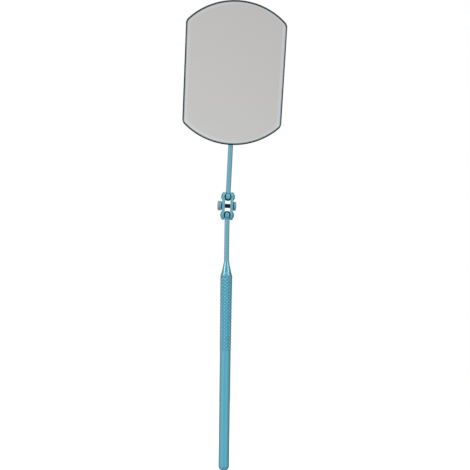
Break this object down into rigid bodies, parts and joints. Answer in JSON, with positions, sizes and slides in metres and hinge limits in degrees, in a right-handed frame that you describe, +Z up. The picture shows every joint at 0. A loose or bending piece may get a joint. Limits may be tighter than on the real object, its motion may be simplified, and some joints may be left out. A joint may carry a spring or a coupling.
{
  "type": "mouth mirror with double ball joint",
  "caption": "Hand-held dental and inspection mirror: knurled round handle, screw-clamped double ball joint, thin stem and a large barrel-shaped bevelled glass in a thin tray.",
  "frame": {"origin": "on the handle's axis, in the middle of the plain shank, 34 mm above the butt end", "axes": "+Z up the handle towards the mirror, -Y the way the mirror looks, +X to the right as seen from the mirror's front"},
  "size_m": [0.0579, 0.0083, 0.2632],
  "materials": {
    "handle_anodising": "satin blue anodising, fine turning lines along the shank and a diamond knurl",
    "neck_anodising": "brighter blue-green anodising",
    "ball_anodising": "polished and anodised",
    "clamp_anodising": "satin blue anodising, rounded edges",
    "washer_steel": "dark blued spring steel",
    "screw_steel": "blue-grey steel, darker shank",
    "nut_steel": "blue-grey steel",
    "socket_anodising": "satin blue anodising",
    "rivet_aluminium": "plain aluminium rivet heads",
    "frame_anodising": "dark slate anodising with a blue-green tint",
    "adhesive": "clear-grey silicone bond",
    "mirror_glass": "silvered glass with a wide shallow bevel and a ground edge"
  },
  "bodies": {
    "handle": {"handle_tube": "handle_anodising", "end_cap": "handle_anodising", "handle_neck": "neck_anodising"},
    "lower_ball_body": {"lower_ball": "ball_anodising"},
    "clamp": {"left_clamp_plate": "clamp_anodising", "right_clamp_plate": "clamp_anodising", "left_spring_washer": "washer_steel", "right_spring_washer": "washer_steel", "clamp_nut": "nut_steel"},
    "screw": {"clamp_screw": "screw_steel"},
    "upper_ball_body": {"upper_ball": "ball_anodising"},
    "head": {"mirror_stem": "neck_anodising", "stem_socket": "socket_anodising", "socket_rivets": "rivet_aluminium", "mirror_frame": "frame_anodising", "glass_adhesive": "adhesive", "mirror_glass": "mirror_glass"}
  },
  "joints": [
    {"name": "lower_ball_twist", "type": "hinge", "parent": "handle", "child": "lower_ball_body", "pos_m": [0, 0, 0.1091], "axis": [0, 0, 1], "continuous": true},
    {"name": "lower_ball_swing", "type": "hinge", "parent": "lower_ball_body", "child": "clamp", "pos_m": [0, 0, 0.1091], "axis": [0.9993, 0, -0.0366], "range_deg": [-120, 120]},
    {"name": "clamp_screw_turn", "type": "hinge", "parent": "clamp", "child": "screw", "pos_m": [0.00019, 0, 0.1142], "axis": [0.9993, 0, -0.0366], "range_deg": [-270, 0]},
    {"name": "upper_ball_swing", "type": "hinge", "parent": "clamp", "child": "upper_ball_body", "pos_m": [0.00037, 0, 0.11929], "axis": [-0.9993, 0, 0.0366], "range_deg": [-120, 120]},
    {"name": "upper_ball_twist", "type": "hinge", "parent": "upper_ball_body", "child": "head", "pos_m": [0.00037, 0, 0.11929], "axis": [0.0366, 0, 0.9993], "continuous": true}
  ]
}
